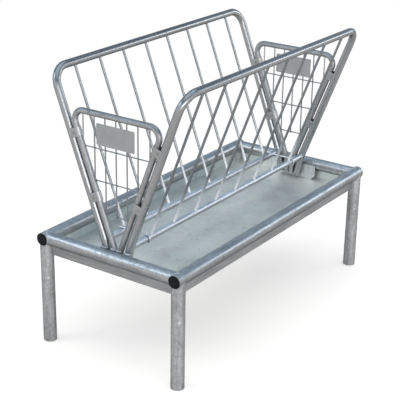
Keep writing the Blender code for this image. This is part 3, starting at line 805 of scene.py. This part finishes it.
def build_plugs(finish):
    """Domed plugs turned about X: the radius follows the sine of a quarter turn and the crown its
    cosine, with a flat collar and a hollow spigot inside the tube. A notch dents the rim."""
    angles = around(PLUG_SIDES)
    off_notch = np.angle(np.exp(1j * (angles - NOTCH_AT)))
    dent = NOTCH_DEPTH * np.exp(-(off_notch / NOTCH_WIDTH) ** 2)
    bore = SPIGOT_R - SPIGOT_WALL
    for corner, x, y in CORNERS:
        low, high = corners_of(f"rail_plug_{corner}")
        crown = max(abs(low[0]), abs(high[0])) - RAIL_END
        edge = crown * PLUG_EDGE_SHARE
        profile = [(PLUG_RIM * math.sin(a), edge + (crown - edge) * math.cos(a))
                   for a in np.linspace(PLUG_POLE, math.pi / 2, PLUG_RINGS)]
        profile += [(PLUG_RIM, PLUG_COLLAR), (SPIGOT_R, PLUG_COLLAR), (SPIGOT_R, -SPIGOT_DEPTH),
                    (bore, -SPIGOT_DEPTH), (bore, -PLUG_SKIN), (SPIGOT_R * PLUG_POLE, -PLUG_SKIN)]
        radius, out = np.array(profile).T
        notched = (radius > PLUG_RIM * NOTCH_START) & (out > 0)
        reach = radius[:, None] - notched[:, None] * dent[None, :]
        spokes = turned(angles, Y_AXIS * -x, Z_AXIS)
        grid = np.array([x * RAIL_END, y * LEG_Y, RAIL_AXIS]) + reach[..., None] * spokes[None]
        cap = shell((grid + (x * out)[:, None, None] * X_AXIS)[::-1])
        piece(f"rail_plug_cap_{corner}", [cap], finish, [f"rail_plug_{corner}"])


# The tray's corners, its lip above the rails' undersides, and how far in its floor has rings
PAN_CORNER = 0.006
PAN_LEAST_CORNER = 0.001
PAN_LIP = 0.0006
PAN_RINGS = (0.12, 0.03)
PAN_SIDE_POINTS = 24
PAN_FOLD_POINTS = 6
PAN_CORNER_POINTS = 7


def pan_ring(half_x, half_y, corner, height):
    """One level of the tray: a rounded rectangle at a height, with even points along its sides."""
    arcs = corner_arcs(half_x, half_y, [corner] * 4, PAN_CORNER_POINTS)
    share = np.linspace(0, 1, PAN_SIDE_POINTS + 2)[1:-1, None]
    points = []
    for arc, following in zip(arcs, arcs[1:] + arcs[:1]):
        points += [arc, arc[-1] * (1 - share) + following[0] * share]
    flat = np.concatenate(points)
    return np.concatenate([flat, np.full((len(flat), 1), height)], axis=-1)


def pan_fold(inset, base, radius, turns):
    """Inset and height of the fold between floor and wall, by one less the turn's sine and
    cosine."""
    return list(zip(inset + radius * (1 - np.sin(turns)), base + radius * (1 - np.cos(turns))))


def build_tray(finish):
    """A folded pan: rings that go out under the floor, round the fold and up the outer side of
    the wall, then down its inner side, round the fold and in over the floor. Its corners end in
    the legs."""
    low, high = corners_of("tray")
    base, floor = low[2], low[2] + TRAY_SHEET
    top = RAIL_AXIS - FRAME_R + PAN_LIP
    turns = np.linspace(0, math.pi / 2, PAN_FOLD_POINTS)
    outer = [(inset, base) for inset in PAN_RINGS]
    outer += pan_fold(0, base, TRAY_FOLD, turns) + [(0, top)]
    inner = [(TRAY_SHEET, top)] + pan_fold(TRAY_SHEET, floor, TRAY_FOLD - TRAY_SHEET, turns[::-1])
    inner += [(inset, floor) for inset in PAN_RINGS[::-1]]
    levels = []
    for inset, height in outer + inner:
        corner = max(PAN_CORNER - inset, PAN_LEAST_CORNER)
        levels.append(pan_ring(high[0] - inset, high[1] - inset, corner, height))
    piece("tray_pan", [shell(np.stack(levels))], finish, ["tray"])


def build_foot_plates(finish):
    """Plates that carry the rack's feet, their lower corners rounded."""
    for end in ENDS:
        plate = flat_plate(f"foot_plate_{end}", FOOT_PLATE_CORNER, FOOT_PLATE_TOP_CORNER,
                           FOOT_PLATE_EDGE, FOOT_PLATE_SPARE)
        zinc_piece(f"foot_plate_sheet_{end}", [plate], finish, f"foot_plate_{end}")


# How deep tubes, bars and wires sink into what they are welded to, as a share of its radius
LOWER_RAIL_HOLD = 0.7
BAR_TOP_HOLD = 0.7
BAR_FOOT_HOLD = 0.6
WIRE_TOP_HOLD = 0.4
WIRE_SIDE_HOLD = 0.3


def rack_corners(y):
    """The corners of one rack frame: foot, knee and top on the left, then the same on the right."""
    foot = np.array([RACK_X, y * FOOT_Y, RAIL_AXIS - FOOT_DROP])
    knee = np.array([RACK_X, y * LOWER_RAIL_Y, LOWER_RAIL_AXIS])
    top = np.array([RACK_X, y * RACK_TOP_Y, RACK_TOP])
    mirror = np.array([-1, 1, 1])
    return [foot * mirror, knee * mirror, top * mirror, top, knee, foot]


def leaning(y):
    """The direction of a side's bars, from the lower rail up and out."""
    return np.array([0, y * math.sin(LEAN), math.cos(LEAN)])


def build_rack(frame_finish, rail_finish, bar_finish, weld_finish):
    """Rack frames, lower rails, bars and their welds."""
    beads = []
    for side, y in SIDES.items():
        path = bent_path(rack_corners(y), [FOOT_BEND, RACK_BEND, RACK_BEND, FOOT_BEND])
        level = np.array([0, math.cos(LEAN), -y * math.sin(LEAN)])
        zinc_piece(f"rack_frame_tube_{side}", [pipe(path, RACK_R, RACK_WALL, level)], frame_finish,
                   f"rack_frame_{side}")
        rail = (y * LOWER_RAIL_Y, LOWER_RAIL_AXIS)
        end = RACK_X - RACK_R * LOWER_RAIL_HOLD
        path = straight((-end, *rail), (end, *rail))
        zinc_piece(f"lower_rail_tube_{side}", [pipe(path, LOWER_RAIL_R, LOWER_RAIL_WALL, Z_AXIS)],
                   rail_finish, f"lower_rail_{side}")
        up = leaning(y)
        for x in ENDS.values():
            spot = np.array([x * RACK_X, *rail])
            beads.append(seam_round(spot, -x * X_AXIS, up, LOWER_RAIL_R, RACK_R, RACK_BEAD, x + y))
        for i, x in enumerate(np.linspace(-BAR_REACH, BAR_REACH, BARS)):
            low, high = np.array([x, *rail]), np.array([x, y * RACK_TOP_Y, RACK_TOP])
            path = straight(low + up * LOWER_RAIL_R * BAR_FOOT_HOLD,
                            high - up * RACK_R * BAR_TOP_HOLD)
            zinc_piece(f"rack_rod_{side}_{i + 1}", [rod(path, BAR_R, X_AXIS)], bar_finish,
                       f"rack_bar_{side}_{i + 1}")
            beads.append(seam_round(low, up, X_AXIS, BAR_R, LOWER_RAIL_R, BAR_BEAD, i))
            beads.append(seam_round(high, -up, X_AXIS, BAR_R, RACK_R, BAR_BEAD, i + 0.5))
    zinc_piece("rack_weld_beads", beads, weld_finish)


def build_tie_bars(finish):
    """Rods across the lower rails: straight between them, then round the outer side of each."""
    reach = LOWER_RAIL_R + TIE_R + HOOK_PLAY
    angles = np.linspace(0, TIE_HOOK, HOOK_POINTS)
    for end, x in ENDS.items():
        across = x * (BAR_REACH + TIE_BAR_OFFSET) + 0 * angles
        hook = np.stack([across, LOWER_RAIL_Y + reach * np.sin(angles),
                         LOWER_RAIL_AXIS + reach * np.cos(angles)], axis=-1)
        path = np.concatenate([hook[::-1], hook * np.array([1, -1, 1])])
        bar = rod(path, TIE_R, X_AXIS, rounding=TIE_ROD_EASE)
        zinc_piece(f"tie_bar_rod_{end}", [bar], finish, f"tie_bar_{end}")


# The upright wires and the cross wires are pressed against each other, either side of the panel's
# middle. The crown is the part of the panel's tube that reaches less than this below its top, and
# the ripples of a wire's bead start by its distance from the middle times a phase
WIRE_PRESS = 0.00025
WIRE_SIDE_STEP = WIRE_R - WIRE_PRESS
UPRIGHTS = [i * WIRE_PITCH for i in (-2, -1, 0, 1, 2)]
PANEL_CROWN = PANEL_BEND * 1.6
WIRE_BEAD_PHASE = 90


def panel_leg(rise):
    """Distance from the middle of a panel to the axis of its leaning leg at a rise: the rack
    tube's distance there, less the offset between the two over the lean's cosine."""
    rack_tube = LOWER_RAIL_Y + (rise - LOWER_RAIL_RISE) * math.tan(LEAN)
    return rack_tube - PANEL_OFFSET / math.cos(LEAN)


def panel_path(x):
    """One panel's tube, from its front foot over its top to its back foot."""
    knee_rise = (PANEL_FOOT_Y - panel_leg(0)) / math.tan(LEAN)
    half = [(PANEL_FOOT_Y, -FOOT_DROP), (PANEL_FOOT_Y, knee_rise),
            (panel_leg(PANEL_TOP_RISE), PANEL_TOP_RISE)]
    outline = [(-y, rise) for y, rise in half] + half[::-1]
    corners = [(x * RACK_X, y, RAIL_AXIS + rise) for y, rise in outline]
    return bent_path(corners, [PANEL_FOOT_BEND, PANEL_BEND, PANEL_BEND, PANEL_FOOT_BEND])


def top_of_panel(path, y):
    """The height at which the panel's crown passes a distance from its middle."""
    upper = path[path[:, 2] > RAIL_AXIS + PANEL_TOP_RISE - PANEL_CROWN]
    order = np.argsort(upper[:, 1])
    return float(np.interp(y, upper[order, 1], upper[order, 2]))


def foot_of_wire(y, lowest):
    """Where an upright wire starts: on the panel's leaning leg, or just below the lowest cross
    wire."""
    leg = abs(y) + PANEL_OFFSET / math.cos(LEAN) - LOWER_RAIL_Y
    return RAIL_AXIS + max(leg / math.tan(LEAN) + LOWER_RAIL_RISE, lowest)


def upright_wire(path, x, y, lowest):
    """A wire up to the panel's crown."""
    place = x * RACK_X - WIRE_SIDE_STEP
    foot, top = foot_of_wire(y, lowest), top_of_panel(path, y) - PANEL_R * WIRE_TOP_HOLD
    return rod(straight((place, y, foot), (place, y, top)), WIRE_R, X_AXIS, WIRE_SIDES)


def cross_wire(x, rise):
    """A level wire between the panel's two legs."""
    half = panel_leg(rise) - PANEL_R * WIRE_SIDE_HOLD
    place, level = x * RACK_X + WIRE_SIDE_STEP, RAIL_AXIS + rise
    return rod(straight((place, -half, level), (place, half, level)), WIRE_R, X_AXIS, WIRE_SIDES)


def build_panels(tube_finish, wire_finish, plate_finish, weld_finish):
    """End panels: the bent tube with its two corner wires, the other wires and the bare name
    plate."""
    rises = [PANEL_TOP_RISE - CROSS_WIRE_DROP - i * CROSS_WIRE_PITCH for i in range(CROSS_WIRES)]
    lowest = min(rises) - WIRE_STUB
    beads = []
    for end, x in ENDS.items():
        path = panel_path(x)
        tube = pipe(path, PANEL_R, PANEL_WALL, X_AXIS)
        corner_wires = [upright_wire(path, x, y, lowest) for y in (-CORNER_WIRE_Y, CORNER_WIRE_Y)]
        wires = [upright_wire(path, x, y, lowest) for y in UPRIGHTS]
        wires += [cross_wire(x, rise) for rise in rises]
        for y in UPRIGHTS:
            joint = np.array([x * RACK_X - WIRE_SIDE_STEP, y, top_of_panel(path, y)])
            phase = y * WIRE_BEAD_PHASE
            beads.append(seam_round(joint, -Z_AXIS, Y_AXIS, WIRE_R, PANEL_R, WIRE_BEAD, phase))
        zinc_piece(f"panel_hoop_{end}", [tube] + corner_wires, tube_finish, f"panel_tube_{end}")
        zinc_piece(f"panel_wires_{end}", wires, wire_finish, f"panel_mesh_{end}")
        plate = flat_plate(f"name_plate_{end}", NAME_PLATE_CORNER, NAME_PLATE_CORNER,
                           NAME_PLATE_EDGE)
        piece(f"name_plate_sheet_{end}", [plate], plate_finish,
              [f"name_plate_{end}"])
    zinc_piece("panel_weld_beads", beads, weld_finish)


def strap_section(half_height, half_sheet, ease=STRAP_EASE):
    """The strap's cut edge: a thin rectangle with eased corners, as points across and along."""
    a, b = half_sheet, half_height
    points = [(a - ease, -b), (a, ease - b), (a, b - ease), (a - ease, b),
              (ease - a, b), (-a, b - ease), (-a, ease - b), (ease - a, -b)]
    return np.array(points)


def build_clamps(finish):
    """Straps round the panel's legs: the cut edge carried along a U, whose arms end in the rack
    tube."""
    bow = PANEL_R + STRAP_PLAY + STRAP_SHEET / 2
    arm = PANEL_OFFSET - STRAP_ARM_DROP
    angles = np.linspace(0, math.pi, STRAP_POINTS)
    arc = np.stack([bow * np.cos(angles), -bow * np.sin(angles)], axis=-1)
    flat = np.concatenate([[(bow, arm)], arc, [(-bow, arm)]])
    way = tangents(flat)
    out = np.stack([-way[:, 1], way[:, 0]], axis=-1)
    section = strap_section(STRAP_HEIGHT / 2, STRAP_SHEET / 2)
    line = flat[:, None, :] + section[None, :, :1] * out[:, None, :]
    for side, y in SIDES.items():
        across = np.array([0, y * math.cos(LEAN), -math.sin(LEAN)])
        rise_of_edge = section[None, :, 1:] * leaning(y)
        for end, x in ENDS.items():
            for level, rise in CLAMP_RISES.items():
                middle = np.array([x * RACK_X, y * panel_leg(rise), RAIL_AXIS + rise])
                grid = middle + line[..., :1] * X_AXIS * y + line[..., 1:] * across + rise_of_edge
                name = f"{side}_{end}_{level}"
                zinc_piece(f"clamp_band_{name}", [shell(grid)], finish, f"clamp_strap_{name}")


# Welds of the feet: how far round a tube a root weld goes and how far out it sits in bead radii,
# and the two beads up each rack foot, from and to where, and how far out and aside in tube radii
ROOT_TURN = 1.15
ROOT_SEAT = 0.55
FOOT_BEAD_WAY = (0.004, 0.050)
FOOT_BEAD_OUT = 0.86
FOOT_BEAD_ASIDE = 0.62


def root_weld(centre, tube_r, outward, phase):
    """A fat weld where a tube meets the cross tube: a bead along an arc round the tube's outer
    half, at a radius just over the tube's own."""
    angles = np.linspace(-ROOT_TURN, ROOT_TURN, ROOT_POINTS)
    spokes = turned(angles, outward, np.cross(Z_AXIS, outward))
    path = centre + (tube_r + ROOT_BEAD * ROOT_SEAT) * spokes
    return bead(path, Z_AXIS + 0 * spokes, ROOT_BEAD, closed=False, phase=phase)


def build_foot_beads(finish):
    """Welds of the rack's and the panels' feet, round each tube at the cross tube and up the
    rack's own."""
    root = (ROOT_RISE + FOOT_DROP) / (LOWER_RAIL_RISE + FOOT_DROP)
    share = np.linspace(*FOOT_BEAD_WAY, FOOT_BEAD_POINTS)[:, None]
    beads = []
    for x in ENDS.values():
        outward = x * X_AXIS
        for y in SIDES.values():
            *_, knee, foot = rack_corners(y)
            spot = (foot + (knee - foot) * root) * (x, 1, 1)
            beads.append(root_weld(spot, RACK_R, outward, x + y))
            spot = np.array([x * RACK_X, y * PANEL_FOOT_Y, RAIL_AXIS + ROOT_RISE])
            beads.append(root_weld(spot, PANEL_R, outward, 2 * x + y))
        for y in SIDES.values():
            *_, knee, foot = rack_corners(y)
            for s in (-1, 1):
                path = foot + unit(knee - foot) * share + Y_AXIS * s * RACK_R * FOOT_BEAD_ASIDE
                path[:, 0] = x * (RACK_X + RACK_R * FOOT_BEAD_OUT)
                beads.append(bead(path, outward + 0 * path, RACK_BEAD, closed=False, phase=s + y))
    zinc_piece("foot_weld_beads", beads, finish)


# Floor: its half width, the distances between which it turns plain white, how much of it glows
# for the camera near the trough and for reflections far from it, and its colour seen plainly and
# in metal
FLOOR_HALF = 30.0
FLOOR_NEAR = 0.8
FLOOR_FAR = 2.8
FLOOR_LIFT = 0.40
FLOOR_GLOSS = 0.65
FLOOR_TONE = (0.81, 0.785, 0.75, 1.0)
FLOOR_IN_METAL = (0.56, 0.55, 0.54, 1.0)


def build_floor():
    """A plain pale floor that keeps the shadow near the trough and turns plain white away from
    it: the share that glows for the camera grows with the distance from the trough's middle."""
    corners = [(x * FLOOR_HALF, y * FLOOR_HALF, 0) for x, y in ((-1, -1), (1, -1), (1, 1), (-1, 1))]
    mesh = bpy.data.meshes.new("floor")
    mesh.from_pydata(corners, [], [(0, 1, 2, 3)])
    finish = Finish("studio_floor")
    flat = finish.vector("MULTIPLY", {0: finish.place, 1: (1.0, 1.0, 0.0)})
    away = finish.step(finish.vector("LENGTH", {0: flat}, "Value"), FLOOR_NEAR, FLOOR_FAR)
    seen = finish.node("ShaderNodeLightPath", output="Is Camera Ray")
    mirrored = finish.node("ShaderNodeLightPath", output="Is Glossy Ray")
    near = finish.mix(mirrored, FLOOR_TONE, FLOOR_IN_METAL)
    glow = seen * (away * (1 - FLOOR_LIFT) + FLOOR_LIFT) + mirrored * away * FLOOR_GLOSS
    finish.set("Base Color", finish.mix(away, near, BLACK))
    finish.set("Emission Color", finish.mix(glow, BLACK, WHITE))
    finish.set("Emission Strength", 1.0)
    finish.set("Roughness", 0.9)
    finish.set("Specular IOR Level", 0.0)
    mesh.materials.append(finish.material)
    placed("floor", mesh)


# Light: soft oblong sources, each with its place, width, height and power, that look at one point
LIGHTS = {
    "left_softbox": ((-4.4, 3.9, 5.0), 3.4, 1.7, 78.0),
    "low_softbox": ((-4.4, -6.1, 1.9), 6.5, 2.0, 130.0),
    "right_softbox": ((4.6, -2.9, 2.2), 1.8, 0.9, 20.0),
    "top_softbox": ((-0.3, -0.6, 5.4), 7.0, 7.0, 120.0),
}
LIGHTS_LOOK_AT = np.array([0.0, 0.0, 0.6])

# The surrounding: its colours, and between which heights of the view each one gives way to the next
HORIZON = (0.82, 0.82, 0.82, 1.0)
PALE_SKY = (0.94, 0.96, 0.98, 1.0)
STEEL_SKY = (0.075, 0.13, 0.20, 1.0)
ZENITH = (0.60, 0.64, 0.68, 1.0)
PALE_FROM = (0.0, 0.14)
STEEL_FROM = (0.46, 0.60)
ZENITH_FROM = (0.66, 0.80)


def stood(name, data, place, axes):
    """A light or a camera at a place, with its own three axes."""
    obj = placed(name, data)
    turn = Matrix(np.stack(axes, axis=-1).tolist())
    obj.matrix_world = Matrix.Translation(place) @ turn.to_4x4()
    return obj


def soft_light(name, place, width, height, power):
    """An oblong area light that looks at the trough, its width level."""
    lamp = bpy.data.lights.new(name, "AREA")
    lamp.shape = "RECTANGLE"
    lamp.size = width
    lamp.size_y = height
    lamp.energy = power
    back = unit(np.array(place) - LIGHTS_LOOK_AT)
    right = unit(np.cross(Z_AXIS, back))
    stood(name, lamp, place, [right, np.cross(back, right), back])


def build_surrounding():
    """A world that is grey at the horizon, pale above it, steel blue higher up and paler
    overhead. The camera itself sees plain white."""
    world = bpy.data.worlds.new("surrounding")
    bpy.context.scene.world = world
    world.use_nodes = True
    background = world.node_tree.nodes["Background"]
    sky = Nodes(world.node_tree)
    height = sky.axis(sky.node("ShaderNodeTexCoord", output="Generated"), "Z")
    low = sky.mix(sky.step(height, *PALE_FROM), HORIZON, PALE_SKY)
    high = sky.mix(sky.step(height, *ZENITH_FROM), STEEL_SKY, ZENITH)
    lit_by = sky.mix(sky.step(height, *STEEL_FROM), low, high)
    seen = sky.node("ShaderNodeLightPath", output="Is Camera Ray")
    sky.give(background.inputs["Color"], sky.mix(seen, lit_by, WHITE))
    background.inputs["Strength"].default_value = 1.0


# Camera: its place, how it is turned, in degrees, and its lens and sensor, in millimetres
CAMERA_PLACE = (-4.144059, -2.774094, 2.530391)
CAMERA_YAW = -55.526
CAMERA_PITCH = 21.967
CAMERA_ROLL = 0.942
CAMERA_LENS = 101.948
CAMERA_SENSOR = 36.0
CAMERA_FAR = 200.0


def build_camera():
    """The camera looks along its yaw, down by its pitch, rolled about its line of sight."""
    yaw, pitch, roll = (math.radians(angle) for angle in (CAMERA_YAW, CAMERA_PITCH, CAMERA_ROLL))
    level = math.cos(pitch)
    forward = np.array([-math.sin(yaw) * level, math.cos(yaw) * level, -math.sin(pitch)])
    right = np.array([math.cos(yaw), math.sin(yaw), 0.0])
    up = np.cross(right, forward)
    rolled_right = math.cos(roll) * right + math.sin(roll) * up
    rolled_up = math.cos(roll) * up - math.sin(roll) * right
    data = bpy.data.cameras.new("camera")
    data.lens = CAMERA_LENS
    data.sensor_width = CAMERA_SENSOR
    data.clip_end = CAMERA_FAR
    camera = stood("camera", data, CAMERA_PLACE, [rolled_right, rolled_up, -forward])
    bpy.context.scene.camera = camera


def finish_bolts(finish):
    """The clamp bolts keep their own solids, and get a material."""
    for name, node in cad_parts.items():
        if name.startswith("clamp_bolt"):
            node.data.materials.clear()
            node.data.materials.append(finish)


def main():
    zinc = {name: galvanised(name, **look) for name, look in ZINC_LOOKS.items()}
    build_rails(zinc["rail_zinc"])
    build_cross_tubes(zinc["cross_zinc"])
    build_legs(zinc["leg_zinc"])
    build_frame_beads(zinc["weld_zinc"])
    build_leg_spots(zinc["spot_zinc"])
    build_plugs(plug_plastic())
    build_tray(tray_zinc())
    build_foot_plates(zinc["plate_steel"])
    build_rack(zinc["rack_zinc"], zinc["lower_zinc"], zinc["rod_zinc"], zinc["weld_zinc"])
    build_tie_bars(zinc["hook_zinc"])
    build_panels(zinc["panel_zinc"], zinc["wire_zinc"], plate_zinc(), zinc["weld_zinc"])
    build_clamps(zinc["strap_zinc"])
    build_foot_beads(zinc["weld_zinc"])
    finish_bolts(bolt_zinc())
    build_floor()
    for name, (place, width, height, power) in LIGHTS.items():
        soft_light(name, place, width, height, power)
    build_surrounding()
    build_camera()
    bpy.context.scene.view_settings.view_transform = "Standard"


main()
